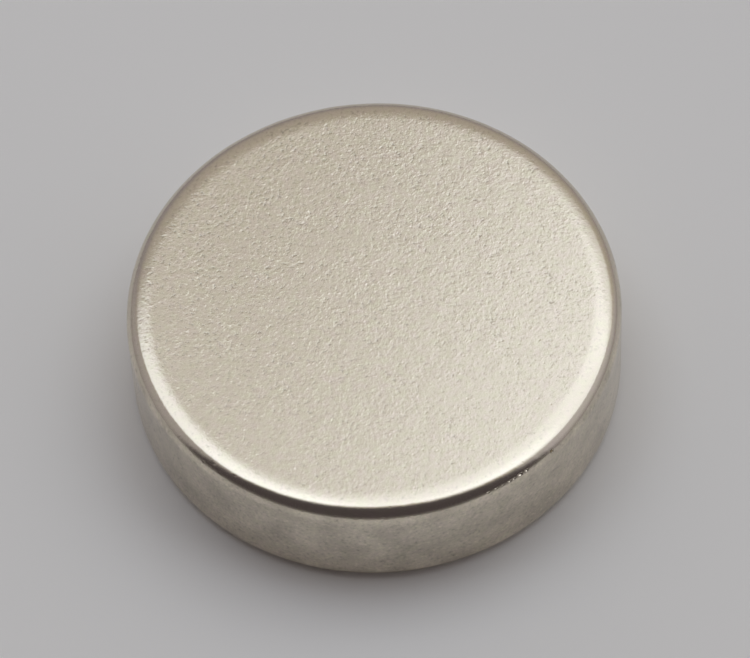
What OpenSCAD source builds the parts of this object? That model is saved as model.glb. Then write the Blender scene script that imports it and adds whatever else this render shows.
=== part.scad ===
// A disc magnet: one round of sintered rare-earth alloy, tumbled and then nickel plated all over.
// Millimetres, +Z up along the axis. The origin is the middle of the bottom face.

/* [Disc] */
// Diameter over the straight wall, half an inch
disc_d = 12.7; // [6:0.1:40]
// Thickness from flat face to flat face, an eighth of an inch
disc_h = 3.175; // [1.5:0.025:12]

/* [Rims] */
// Radius that tumbling leaves on each rim
corner_r = 0.4; // [0.1:0.05:0.6]
// Radius of the gentle shoulder between each flat face and its rim
shoulder_r = 2.525; // [1.5:0.025:4]
// Distance from the edge of the flat face to the centre of the rim's radius
shoulder_w = 0.325; // [0.1:0.025:0.4]

/* [Hidden] */
$fn = 180;
plate_colour = [0.78, 0.76, 0.71];

// The section's own frame has the disc's axis on Y and its mid-plane on X.
half_h = disc_h / 2;
disc_r = disc_d / 2;

// Shoulder and rim are two arcs with one tangent where they meet, so their centres lie
// shoulder_r - corner_r apart, and the line through both centres passes through the meeting.
rise = sqrt(pow(shoulder_r - corner_r, 2) - pow(shoulder_w, 2));
shoulder_centre = [disc_r - corner_r - shoulder_w, half_h - shoulder_r];
corner_centre = shoulder_centre + [shoulder_w, rise];

// That line is carried on for this many times its length, so that it cuts both arcs.
carried_on = 10;
line_end = corner_centre + carried_on * [shoulder_w, rise];

// What an outline leaves of a full round
module trimmed_round(centre, r, outline) {
    intersection() {
        translate(centre) circle(r);
        polygon(outline);
    }
}

// The section above the mid-plane: flat face, shoulder, rim and straight wall
module upper_section() {
    square([shoulder_centre.x, half_h]);
    translate([shoulder_centre.x, 0])
        square([disc_r - shoulder_centre.x, corner_centre.y]);
    trimmed_round(shoulder_centre, shoulder_r, [
        [shoulder_centre.x, corner_centre.y],
        [shoulder_centre.x, line_end.y],
        line_end,
        corner_centre
    ]);
    trimmed_round(corner_centre, corner_r, [
        corner_centre,
        line_end,
        [line_end.x, corner_centre.y]
    ]);
}

// The whole disc, turned from its section: both faces and both rims are alike
module magnet() {
    color(plate_colour)
        translate([0, 0, half_h])
            rotate_extrude()
                for (face = [0, 1])
                    mirror([0, face])
                        upper_section();
}

magnet();
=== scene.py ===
"""A nickel-plated disc magnet, lying flat on a pale studio floor."""
import math

import bmesh
import bpy
from mathutils import Matrix, Vector, noise


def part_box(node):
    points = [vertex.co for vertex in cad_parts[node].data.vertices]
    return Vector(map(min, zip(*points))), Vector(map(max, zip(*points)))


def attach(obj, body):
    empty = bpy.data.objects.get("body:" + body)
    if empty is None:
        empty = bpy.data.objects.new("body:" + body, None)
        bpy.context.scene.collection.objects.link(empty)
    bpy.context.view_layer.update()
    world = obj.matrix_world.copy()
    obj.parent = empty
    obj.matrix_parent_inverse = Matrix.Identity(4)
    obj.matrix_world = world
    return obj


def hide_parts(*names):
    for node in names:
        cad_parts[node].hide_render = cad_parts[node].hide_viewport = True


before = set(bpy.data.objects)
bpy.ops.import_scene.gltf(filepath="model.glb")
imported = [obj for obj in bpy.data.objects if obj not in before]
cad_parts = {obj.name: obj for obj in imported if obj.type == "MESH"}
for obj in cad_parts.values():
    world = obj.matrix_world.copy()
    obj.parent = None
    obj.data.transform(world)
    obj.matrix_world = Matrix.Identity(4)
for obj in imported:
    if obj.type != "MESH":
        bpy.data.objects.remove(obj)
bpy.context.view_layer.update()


# ---------------------------------------------------------------------------------------- the disc
# One round of neodymium alloy, pressed and sintered, ground flat on both faces, tumbled with stones
# and then nickel plated all over. The tumbling rounds both rims and wears a gentle shoulder just
# inside each of them.

MM = 0.001                   # one millimetre in the scene's metres

low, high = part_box("magnet")
DISC_R = (high.x - low.x) / 2
DISC_H = high.z - low.z
CORNER_R = 0.4 * MM
SHOULDER_R = 2.525 * MM
SHOULDER_W = 0.325 * MM      # from the flat face's edge to the centre of the corner's arc
SHOULDER_STEPS = 7
CORNER_STEPS = 18
WALL_STEPS = 18
FACE_RING_GAP = 0.11 * MM    # between two rings of a flat face
AROUND = 768                 # segments round the rim, 24 doubled five times
COARSEST = 24                # segments of the innermost ring

# The section's two arcs. Their centres are (radius from the axis, height above the mid-plane).
CORNER_RISE = math.sqrt((SHOULDER_R - CORNER_R) ** 2 - SHOULDER_W ** 2)
SHOULDER_AT = (DISC_R - CORNER_R - SHOULDER_W, DISC_H / 2 - SHOULDER_R)
CORNER_AT = (DISC_R - CORNER_R, SHOULDER_AT[1] + CORNER_RISE)
ARCS_MEET = math.atan2(CORNER_RISE, SHOULDER_W)


def arc(centre, radius, start, end, steps):
    """Points on an arc of the section, as (radius from the axis, height), after its first one."""
    turns = (start + (end - start) * i / steps for i in range(1, steps + 1))
    return [(centre[0] + radius * math.cos(t), centre[1] + radius * math.sin(t)) for t in turns]


def upper_section():
    """The rim from the flat face's edge to the mid-plane, heights counted from the mid-plane."""
    points = [(SHOULDER_AT[0], DISC_H / 2)]
    points += arc(SHOULDER_AT, SHOULDER_R, math.pi / 2, ARCS_MEET, SHOULDER_STEPS)
    points += arc(CORNER_AT, CORNER_R, ARCS_MEET, 0, CORNER_STEPS)
    half_wall = WALL_STEPS // 2
    points += [(DISC_R, CORNER_AT[1] * (1 - i / half_wall)) for i in range(1, half_wall + 1)]
    return points


def face_rings(edge_r):
    """Radius and segments of a flat face's rings, from the centre out to just inside its edge."""
    count = round(edge_r / FACE_RING_GAP)
    rings = []
    for i in range(count - 1, 0, -1):
        r = edge_r * i / count
        segments = AROUND
        while segments > COARSEST and 2 * math.pi * r / segments < FACE_RING_GAP / 2:
            segments //= 2
        rings.append((r, segments))
    return rings[::-1]


def add_ring(bm, r, z, segments):
    """A level ring of new points round the axis."""
    turn = 2 * math.pi / segments
    return [bm.verts.new((r * math.cos(i * turn), r * math.sin(i * turn), z)) for i in range(segments)]


def bridge(bm, inner, outer):
    """Faces between two rings, where the outer one has as many segments or twice as many."""
    n, m = len(inner), len(outer)
    for i in range(n):
        j = (i + 1) % n
        if n == m:
            bm.faces.new((inner[i], outer[i], outer[j], inner[j]))
        else:
            a, b, c = outer[2 * i], outer[2 * i + 1], outer[(2 * i + 2) % m]
            bm.faces.new((inner[i], a, b))
            bm.faces.new((inner[i], b, inner[j]))
            bm.faces.new((inner[j], b, c))


def disc_mesh():
    """The whole disc as one closed skin, from the middle of the top face to that of the bottom one."""
    bm = bmesh.new()
    section = upper_section()
    face = face_rings(section[0][0])
    half = [(r, DISC_H / 2, n) for r, n in face] + [(r, z, AROUND) for r, z in section]
    whole = half + [(r, -z, n) for r, z, n in half[-2::-1]]
    rings = [add_ring(bm, r, z + DISC_H / 2, n) for r, z, n in whole]
    for one, two in zip(rings, rings[1:]):
        if len(one) <= len(two):
            bridge(bm, one, two)
        else:
            bridge(bm, two, one)
    bm.faces.new(rings[0])
    bm.faces.new(rings[-1])
    bmesh.ops.recalc_face_normals(bm, faces=bm.faces)
    return bm


# Flaws of the upper rim: degrees round from the front, degrees up the corner's arc, half length
# along the rim, half height up it, depth, and how far up in that height it is deepest, where 0 is
# the middle and 1 the top. They are a deep pit, seven nicks in a row and four soft dents.
FLAWS = [
    (42.5, 34, 0.055 * MM, 0.050 * MM, 0.130 * MM, 0.0),
    (34.8, 36, 0.045 * MM, 0.034 * MM, 0.047 * MM, 0.7),
    (33.0, 36, 0.070 * MM, 0.038 * MM, 0.055 * MM, 0.7),
    (31.2, 35, 0.035 * MM, 0.026 * MM, 0.036 * MM, 0.7),
    (30.0, 35, 0.045 * MM, 0.026 * MM, 0.036 * MM, 0.7),
    (28.2, 35, 0.030 * MM, 0.020 * MM, 0.026 * MM, 0.7),
    (26.4, 35, 0.045 * MM, 0.020 * MM, 0.026 * MM, 0.7),
    (24.3, 35, 0.035 * MM, 0.022 * MM, 0.029 * MM, 0.7),
    (-37.5, 62, 0.070 * MM, 0.050 * MM, 0.002 * MM, 0.0),
    (-41.0, 44, 0.090 * MM, 0.060 * MM, 0.003 * MM, 0.0),
    (-43.5, 56, 0.080 * MM, 0.050 * MM, 0.0025 * MM, 0.0),
    (-46.0, 40, 0.070 * MM, 0.050 * MM, 0.003 * MM, 0.0),
]
REACH = 2                    # a flaw ends within this many half lengths of its middle
FINER = 4                    # cuts of each edge of the skin near a flaw
FINER_ROUND = 0.05 * MM      # how far past a flaw the skin is cut finer
ROUND_AGAIN = 0.15 * MM      # how far past a flaw its points are put back on the arc
WAVE = 1.1 * MM              # across the rims' long unevenness
WAVE_DEPTH = 0.010 * MM
RIPPLE = 0.24 * MM           # across the short unevenness that rides on it
RIPPLE_DEPTH = 0.003 * MM
SWELLING = 0.45 * MM         # across the broad swellings of the faces under their grain
SWELLING_DEPTH = 0.0022 * MM
RIM_FROM = CORNER_AT[0] - 0.1 * MM    # this far from the axis the unevenness starts to replace the
RIM_FADE = 0.3 * MM                   # swellings, and it has done so this much further out


def on_corner(round_from_front, up):
    """A point of the upper corner's arc, and there the ways along the rim and up it."""
    way, rise = math.radians(round_from_front), math.radians(up)
    out = Vector((math.sin(way), -math.cos(way), 0))
    along = Vector((math.cos(way), math.sin(way), 0))
    upward = Vector((0, 0, math.cos(rise))) - math.sin(rise) * out
    r = CORNER_AT[0] + CORNER_R * math.cos(rise)
    z = DISC_H / 2 + CORNER_AT[1] + CORNER_R * math.sin(rise)
    return r * out + Vector((0, 0, z)), along, upward


def near(place, flaws, margin):
    """Whether a place is within a flaw's half length and a margin of its middle."""
    return any((place - flaw[0]).length < flaw[3] + margin for flaw in flaws)


def dent(place, flaw):
    """How deep a flaw goes at a place: a bowl, or a nick with a long lower flank if it leans."""
    spot, along, upward, half_length, half_height, depth, lean = flaw
    u = (place - spot).dot(along) / half_length
    v = (place - spot).dot(upward) / half_height
    if lean == 0:
        return depth * max(1 - u * u - v * v, 0) ** 2
    flank = min((1 + v) / (1 + lean), (1 - v) / (1 - lean))
    return depth * max(1 - u * u, 0) * max(flank, 0)


def refine(bm, flaws):
    """Cuts the skin finer round the flaws and puts its new points back on the corner's arc."""
    edges = set()
    for face in bm.faces:
        if near(face.calc_center_median(), flaws, FINER_ROUND):
            edges.update(face.edges)
    bmesh.ops.subdivide_edges(bm, edges=list(edges), cuts=FINER, use_grid_fill=True)
    corner_z = DISC_H / 2 + CORNER_AT[1]
    for v in bm.verts:
        flat = math.hypot(v.co.x, v.co.y)
        out, rise = flat - CORNER_AT[0], v.co.z - corner_z
        if rise > 0 and near(v.co, flaws, ROUND_AGAIN):
            reach = CORNER_R / math.hypot(out, rise)
            wider = (CORNER_AT[0] + out * reach) / flat
            v.co = Vector((v.co.x * wider, v.co.y * wider, corner_z + rise * reach))


def rolling(place, across):
    """Smooth noise from 0 to 1 with swellings of the given size."""
    return 0.5 + 0.5 * noise.noise(place / across)


def wear(bm, flaws):
    """Sinks the skin by its unevenness and its flaws, never outwards."""
    bm.normal_update()
    sunk = []
    for v in bm.verts:
        flat = math.hypot(v.co.x, v.co.y)
        rim = min(max((flat - RIM_FROM) / RIM_FADE, 0), 1)
        depth = rim * (WAVE_DEPTH * rolling(v.co, WAVE) + RIPPLE_DEPTH * rolling(v.co, RIPPLE))
        depth += (1 - rim) * SWELLING_DEPTH * rolling(v.co, SWELLING)
        if rim > 0 and v.co.z > DISC_H / 2:
            close = [flaw for flaw in flaws if (v.co - flaw[0]).length < REACH * flaw[3]]
            depth += sum(dent(v.co, flaw) for flaw in close)
        sunk.append((v, v.co - v.normal * depth))
    for v, place in sunk:
        v.co = place


bm = disc_mesh()
flaws = [(*on_corner(flaw[0], flaw[1]), *flaw[2:]) for flaw in FLAWS]
refine(bm, flaws)
wear(bm, flaws)
disc_data = bpy.data.meshes.new("disc_magnet")
bm.to_mesh(disc_data)
bm.free()
disc_data.polygons.foreach_set("use_smooth", [True] * len(disc_data.polygons))


def linear(colour):
    """An sRGB hex colour as linear red, green, blue and alpha."""
    parts = [int(colour[i:i + 2], 16) / 255 for i in (0, 2, 4)]
    return [p / 12.92 if p <= 0.04045 else ((p + 0.055) / 1.055) ** 2.4 for p in parts] + [1.0]


def add(tree, kind, inputs=None, **settings):
    """Adds a node with its settings. inputs go by name or number, each a socket to link or a value."""
    node = tree.nodes.new(kind)
    for name, value in settings.items():
        setattr(node, name, value)
    for name, source in (inputs or {}).items():
        if isinstance(source, bpy.types.NodeSocket):
            tree.links.new(source, node.inputs[name])
        else:
            node.inputs[name].default_value = source
    return node


# Satin nickel, electroplated over copper and a first coat of nickel. To the eye it is a warm white
# metal, neither bright nor dull, with the orange peel of the ground alloy under it. The rims are
# burnished, and the wall is rougher, under a faint cloudy film.
YELLOWISH, PINKISH = linear("D6CFBC"), linear("D8CDC0")    # the two tints of its faint mottling
MOTTLE = 0.24 * MM           # across one cloud of the mottling
MOTTLE_SPAN = (0.25, 0.75)   # the noise that goes from one tint to the other
GRAIN = 0.098 * MM           # across one pebble, drawn coarser than the real ones so that they show
GRAIN_HEIGHT = 0.0031 * MM
GRAIN_DETAIL, GRAIN_MIX = 1.3, 0.6    # smaller pebbles between the others, and how strong they are
PEAKED, PEAKED_LEAST = 5.0, 0.35      # how much the tall pebbles gain on the low ones
PATCH = 0.9 * MM             # across the patches where the pebbles are higher or lower
PATCH_SPAN = (0.35, 0.65)    # the noise that goes from the lowest to the highest,
PATCH_HEIGHTS = (0.75, 1.25)          # and their heights, in shares of the usual one
HIGHER_WAY = (-0.04 / MM, 0.075 / MM, 0.0)    # how that share grows, towards the back left,
HIGHER_ON_AXIS = 1.05                         # and what it is on the axis
CALM_FROM, CALM_TO = DISC_R - 0.55 * MM, DISC_R - 0.3 * MM    # where the pebbles get lower,
CALM = 0.5                                                    # and the share left on the rims
HOLLOW_SHADE = 0.45          # how much painted shade darkens the hollows between the pebbles
PIT_GAP = 0.28 * MM          # between one tiny pit of the plating and the next
PIT_REACH = 0.16             # radius of a pit, in shares of that gap
PIT_DEPTH = 0.0019 * MM
FACE_ROUGHNESS = 0.207
RIM_ROUGHNESS = 0.188
BURNISH_FROM, BURNISH_TO = DISC_R - 0.7 * MM, DISC_R - 0.25 * MM    # where the one turns to the other
WALL_FROM = DISC_H / 2 - 0.26 * MM    # the wall's own finish fades from this far above and below
WALL_TO = DISC_H / 2 - 0.16 * MM      # the mid-plane to this far
WALL_HIGHER = 4.0            # what its pebbles gain in height, in shares
FILM_GRAIN, FILM_CLOUDS = 0.55, 0.6    # how much the pebbles and the patches show in its film
MIX_A, MIX_B, MIXED = 6, 7, 2          # the colour sockets of a Mix node

nickel = bpy.data.materials.new("satin_nickel_plate")
nickel.use_nodes = True
tree = nickel.node_tree
tree.nodes.clear()
place = add(tree, "ShaderNodeTexCoord").outputs["Object"]

# How far out a point is, and whether it is on the wall.
level = add(tree, "ShaderNodeVectorMath", {0: place, 1: (1.0, 1.0, 0.0)}, operation="MULTIPLY")
from_axis = add(tree, "ShaderNodeVectorMath", {0: level.outputs["Vector"]}, operation="LENGTH")
parts = add(tree, "ShaderNodeSeparateXYZ", {0: place})
from_middle = add(tree, "ShaderNodeMath", {0: parts.outputs["Z"], 1: DISC_H / 2}, operation="SUBTRACT")
storey = add(tree, "ShaderNodeMath", {0: from_middle.outputs[0]}, operation="ABSOLUTE")
wall = add(tree, "ShaderNodeMapRange", {
    "Value": storey.outputs[0], "From Min": WALL_FROM, "From Max": WALL_TO, "To Min": 1.0, "To Max": 0.0},
    interpolation_type="SMOOTHSTEP")

# The pebbles: noise made peaked, then patchy, higher to the back left, calm on the rims and high on
# the wall.
grain = add(tree, "ShaderNodeTexNoise", {
    "Vector": place, "Scale": 1 / GRAIN, "Detail": GRAIN_DETAIL, "Roughness": GRAIN_MIX})
centred = add(tree, "ShaderNodeMath", {0: grain.outputs["Fac"], 1: 0.5}, operation="SUBTRACT")
size = add(tree, "ShaderNodeMath", {0: centred.outputs[0]}, operation="ABSOLUTE")
gain = add(tree, "ShaderNodeMath", {
    0: size.outputs[0], 1: PEAKED, 2: PEAKED_LEAST}, operation="MULTIPLY_ADD")
peaked = add(tree, "ShaderNodeMath", {0: centred.outputs[0], 1: gain.outputs[0]}, operation="MULTIPLY")
patches = add(tree, "ShaderNodeTexNoise", {
    "Vector": place, "Scale": 1 / PATCH, "Detail": 1.0, "Roughness": 0.5})
strength = add(tree, "ShaderNodeMapRange", {
    "Value": patches.outputs["Fac"], "From Min": PATCH_SPAN[0], "From Max": PATCH_SPAN[1],
    "To Min": PATCH_HEIGHTS[0], "To Max": PATCH_HEIGHTS[1]})
patchy = add(tree, "ShaderNodeMath", {
    0: peaked.outputs[0], 1: strength.outputs["Result"]}, operation="MULTIPLY")
slope = add(tree, "ShaderNodeVectorMath", {0: place, 1: HIGHER_WAY}, operation="DOT_PRODUCT")
higher = add(tree, "ShaderNodeMath", {0: slope.outputs["Value"], 1: HIGHER_ON_AXIS}, operation="ADD")
scaled = add(tree, "ShaderNodeMath", {0: patchy.outputs[0], 1: higher.outputs[0]}, operation="MULTIPLY")
calm = add(tree, "ShaderNodeMapRange", {
    "Value": from_axis.outputs["Value"], "From Min": CALM_FROM, "From Max": CALM_TO,
    "To Min": 1.0, "To Max": CALM}, interpolation_type="SMOOTHSTEP")
calmed = add(tree, "ShaderNodeMath", {
    0: scaled.outputs[0], 1: calm.outputs["Result"]}, operation="MULTIPLY")
rougher = add(tree, "ShaderNodeMath", {
    0: wall.outputs["Result"], 1: WALL_HIGHER, 2: 1.0}, operation="MULTIPLY_ADD")
height = add(tree, "ShaderNodeMath", {0: calmed.outputs[0], 1: rougher.outputs[0]}, operation="MULTIPLY")

# The relief: tiny round pits, and the pebbles over them.
cells = add(tree, "ShaderNodeTexVoronoi", {"Vector": place, "Scale": 1 / PIT_GAP})
pits = add(tree, "ShaderNodeMapRange", {
    "Value": cells.outputs["Distance"], "From Min": 0.0, "From Max": PIT_REACH},
    interpolation_type="SMOOTHSTEP")
pitted = add(tree, "ShaderNodeBump", {
    "Height": pits.outputs["Result"], "Strength": 1.0, "Distance": PIT_DEPTH})
relief = add(tree, "ShaderNodeBump", {
    "Height": height.outputs[0], "Strength": 1.0, "Distance": GRAIN_HEIGHT,
    "Normal": pitted.outputs["Normal"]})

# The colour: two tints in clouds, painted shade in the hollows between the pebbles, and the film on the
# wall.
mottle = add(tree, "ShaderNodeTexNoise", {
    "Vector": place, "Scale": 1 / MOTTLE, "Detail": 1.0, "Roughness": 0.5})
pinker = add(tree, "ShaderNodeMapRange", {
    "Value": mottle.outputs["Fac"], "From Min": MOTTLE_SPAN[0], "From Max": MOTTLE_SPAN[1]})
tints = add(tree, "ShaderNodeMix", {
    "Factor": pinker.outputs["Result"], MIX_A: YELLOWISH, MIX_B: PINKISH}, data_type="RGBA")
# Painted shade: the colour is darkened wherever the pebbles' relief dips below its middle, in their
# hollows.
hollow = add(tree, "ShaderNodeMath", {0: calmed.outputs[0], 1: 0.0}, operation="MINIMUM")
hollow_painted_shade = add(tree, "ShaderNodeMath", {
    0: hollow.outputs[0], 1: HOLLOW_SHADE, 2: 1.0}, operation="MULTIPLY_ADD")
clouds = add(tree, "ShaderNodeMath", {0: patches.outputs["Fac"], 1: 0.5}, operation="SUBTRACT")
cloudy = add(tree, "ShaderNodeMath", {0: clouds.outputs[0], 1: FILM_CLOUDS}, operation="MULTIPLY")
film = add(tree, "ShaderNodeMath", {
    0: peaked.outputs[0], 1: FILM_GRAIN, 2: cloudy.outputs[0]}, operation="MULTIPLY_ADD")
shade = add(tree, "ShaderNodeMath", {
    0: film.outputs[0], 1: wall.outputs["Result"], 2: hollow_painted_shade.outputs[0]}, operation="MULTIPLY_ADD")
colour = add(tree, "ShaderNodeVectorMath", {
    0: tints.outputs[MIXED], "Scale": shade.outputs[0]}, operation="SCALE")

burnish = add(tree, "ShaderNodeMapRange", {
    "Value": from_axis.outputs["Value"], "From Min": BURNISH_FROM, "From Max": BURNISH_TO,
    "To Min": FACE_ROUGHNESS, "To Max": RIM_ROUGHNESS}, interpolation_type="SMOOTHSTEP")
metal = add(tree, "ShaderNodeBsdfPrincipled", {
    "Base Color": colour.outputs["Vector"], "Metallic": 1.0, "Roughness": burnish.outputs["Result"],
    "Normal": relief.outputs["Normal"]})
add(tree, "ShaderNodeOutputMaterial", {"Surface": metal.outputs["BSDF"]})
disc_data.materials.append(nickel)

disc = bpy.data.objects.new("disc_magnet", disc_data)
bpy.context.scene.collection.objects.link(disc)
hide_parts("magnet")
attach(disc, "root")


# ---------------------------------------------------------------------------------------- the floor
# A sheet of pale card, laid flat under the disc and cut wide enough to fill every view. Its surface
# is matte, so the disc stands in its own soft shadow and not on a mirror.

FLOOR_HALF = 1.5             # half its side
floor_data = bpy.data.meshes.new("floor")
corners = [(x * FLOOR_HALF, y * FLOOR_HALF, 0) for x, y in ((-1, -1), (1, -1), (1, 1), (-1, 1))]
floor_data.from_pydata(corners, [], [(0, 1, 2, 3)])

card = bpy.data.materials.new("matte_white_card")
card.use_nodes = True
paper = card.node_tree.nodes["Principled BSDF"]
paper.inputs["Base Color"].default_value = linear("F4F2EF")
paper.inputs["Roughness"].default_value = 0.9
floor_data.materials.append(card)

floor = bpy.data.objects.new("floor", floor_data)
bpy.context.scene.collection.objects.link(floor)


# ------------------------------------------------------------------------------- the studio's light
# A tent of pale cloth with cooler sheets at its sides, open on the near side, where the room is dark.
# Two softboxes hang over the disc to the left and the right, a weak top light by each of them, and a
# dim strip light lies lower behind it on the right.

CLOTH_LOW, CLOTH_HIGH = linear("9B969B"), linear("C3BCAF")
CLOTH_WAY = (0.33, 0.0, 1.0)      # the way it gets paler: up, and a little to the right,
CLOTH_FADE = (0.15, 0.9)          # and how far along that way the change starts and ends
SHEETS_LOW, SHEET_LEFT, SHEET_RIGHT = linear("9F9B9D"), linear("B2AEB0"), linear("CBC9CD")
SHEETS_FADE = (0.1, 0.5)          # how high their own change starts and ends,
SHEETS_ACROSS = (-0.6, 0.6)       # and how far from left to right
SHEETS_ASIDE, SHEETS_WAY = 0.94, (-0.08, -0.34, 0.0)    # they hang at both sides, more so on the
SHEETS_EDGE = (0.40, 0.60)                              # near side, with a soft edge
ROOM_LOW, ROOM_HIGH = linear("8C8B89"), linear("4F494C")
ROOM_FADE = (0.0, 0.28)
OPENING_ASIDE, OPENING_WAY = 0.29, (0.15, 1.0, 0.0)     # the roof's near edge runs overhead, soft
OPENING_EDGE = (-0.10, 0.03)                            # too, and comes nearer at both sides

world = bpy.data.worlds.new("tent")
bpy.context.scene.world = world
world.use_nodes = True
tree = world.node_tree
tree.nodes.clear()
way = add(tree, "ShaderNodeTexCoord").outputs["Generated"]
parts = add(tree, "ShaderNodeSeparateXYZ", {0: way})
aside = add(tree, "ShaderNodeMath", {0: parts.outputs["X"]}, operation="ABSOLUTE")

up_cloth = add(tree, "ShaderNodeVectorMath", {0: way, 1: CLOTH_WAY}, operation="DOT_PRODUCT")
paler = add(tree, "ShaderNodeMapRange", {
    "Value": up_cloth.outputs["Value"], "From Min": CLOTH_FADE[0], "From Max": CLOTH_FADE[1]})
cloth = add(tree, "ShaderNodeMix", {
    "Factor": paler.outputs["Result"], MIX_A: CLOTH_LOW, MIX_B: CLOTH_HIGH}, data_type="RGBA")

to_right = add(tree, "ShaderNodeMapRange", {
    "Value": parts.outputs["X"], "From Min": SHEETS_ACROSS[0], "From Max": SHEETS_ACROSS[1]})
sheets_high = add(tree, "ShaderNodeMix", {
    "Factor": to_right.outputs["Result"], MIX_A: SHEET_LEFT, MIX_B: SHEET_RIGHT}, data_type="RGBA")
up_sheets = add(tree, "ShaderNodeMapRange", {
    "Value": parts.outputs["Z"], "From Min": SHEETS_FADE[0], "From Max": SHEETS_FADE[1]})
sheets = add(tree, "ShaderNodeMix", {
    "Factor": up_sheets.outputs["Result"], MIX_A: SHEETS_LOW, MIX_B: sheets_high.outputs[MIXED]},
    data_type="RGBA")
nearer = add(tree, "ShaderNodeVectorMath", {0: way, 1: SHEETS_WAY}, operation="DOT_PRODUCT")
flanking = add(tree, "ShaderNodeMath", {
    0: aside.outputs[0], 1: SHEETS_ASIDE, 2: nearer.outputs["Value"]}, operation="MULTIPLY_ADD")
at_side = add(tree, "ShaderNodeMapRange", {
    "Value": flanking.outputs[0], "From Min": SHEETS_EDGE[0], "From Max": SHEETS_EDGE[1]},
    interpolation_type="SMOOTHSTEP")
hangings = add(tree, "ShaderNodeMix", {
    "Factor": at_side.outputs["Result"], MIX_A: cloth.outputs[MIXED], MIX_B: sheets.outputs[MIXED]},
    data_type="RGBA")

up_room = add(tree, "ShaderNodeMapRange", {
    "Value": parts.outputs["Z"], "From Min": ROOM_FADE[0], "From Max": ROOM_FADE[1]})
room = add(tree, "ShaderNodeMix", {
    "Factor": up_room.outputs["Result"], MIX_A: ROOM_LOW, MIX_B: ROOM_HIGH}, data_type="RGBA")
away = add(tree, "ShaderNodeVectorMath", {0: way, 1: OPENING_WAY}, operation="DOT_PRODUCT")
narrowed = add(tree, "ShaderNodeMath", {
    0: aside.outputs[0], 1: OPENING_ASIDE, 2: away.outputs["Value"]}, operation="MULTIPLY_ADD")
inside = add(tree, "ShaderNodeMapRange", {
    "Value": narrowed.outputs[0], "From Min": OPENING_EDGE[0], "From Max": OPENING_EDGE[1]},
    interpolation_type="SMOOTHSTEP")
around = add(tree, "ShaderNodeMix", {
    "Factor": inside.outputs["Result"], MIX_A: room.outputs[MIXED], MIX_B: hangings.outputs[MIXED]},
    data_type="RGBA")
tent = add(tree, "ShaderNodeBackground", {"Color": around.outputs[MIXED], "Strength": 1.0})
add(tree, "ShaderNodeOutputWorld", {"Surface": tent.outputs["Background"]})

LAMPS_AWAY = 0.6             # from the disc to every lamp
DAYLIGHT = linear("E1EEFF")[:3]


def softbox(name, aside, up, turned, width, length, radiance):
    """An area lamp that faces the disc, `aside` degrees to the right of straight behind it, `up`
    degrees high and `turned` in its own plane."""
    light = bpy.data.lights.new(name, "AREA")
    light.shape = "RECTANGLE"
    light.size, light.size_y = width, length
    light.color = DAYLIGHT
    light.energy = radiance * math.pi * width * length
    lamp = bpy.data.objects.new(name, light)
    bpy.context.scene.collection.objects.link(lamp)
    turn = Matrix.Rotation(math.radians(-aside), 4, "Z") @ Matrix.Rotation(math.radians(up - 90), 4, "X")
    turn = turn @ Matrix.Rotation(math.radians(turned), 4, "Z")
    lamp.matrix_world = turn @ Matrix.Translation((0, 0, LAMPS_AWAY))


softbox("left_softbox", aside=-48, up=65.5, turned=49, width=0.338, length=0.28, radiance=1.06)
softbox("right_softbox", aside=52.2, up=66.9, turned=30, width=0.484, length=0.317, radiance=0.98)
softbox("left_top_light", aside=-70, up=76, turned=-20, width=0.25, length=0.20, radiance=0.34)
softbox("right_top_light", aside=70, up=76, turned=20, width=0.25, length=0.20, radiance=0.46)
softbox("strip_light", aside=39.1, up=50.0, turned=24, width=0.44, length=0.132, radiance=0.65)


# --------------------------------------------------------------------------------------- the camera
# A long lens, close, well above the disc and turned a little on its own axis. It looks at a point on
# the floor just behind the middle of the disc.

CAMERA_AWAY = 130 * MM
CAMERA_UP = math.radians(58.0)
CAMERA_ROLL = math.radians(-3.4)
AIM = Vector((0, 1.148, 0)) * MM
LENS = 238.1                          # its focal length in millimetres
NEAREST = 5 * MM                      # it must see things this close
camera_data = bpy.data.cameras.new("camera")
camera_data.lens = LENS
camera_data.clip_start = NEAREST
camera = bpy.data.objects.new("camera", camera_data)
bpy.context.scene.collection.objects.link(camera)
back = Vector((0, -math.cos(CAMERA_UP), math.sin(CAMERA_UP)))
turned = back.to_track_quat("Z", "Y").to_matrix() @ Matrix.Rotation(CAMERA_ROLL, 3, "Z")
camera.matrix_world = Matrix.Translation(AIM + CAMERA_AWAY * back) @ turned.to_4x4()
bpy.context.scene.camera = camera
bpy.context.scene.view_settings.view_transform = "Standard"
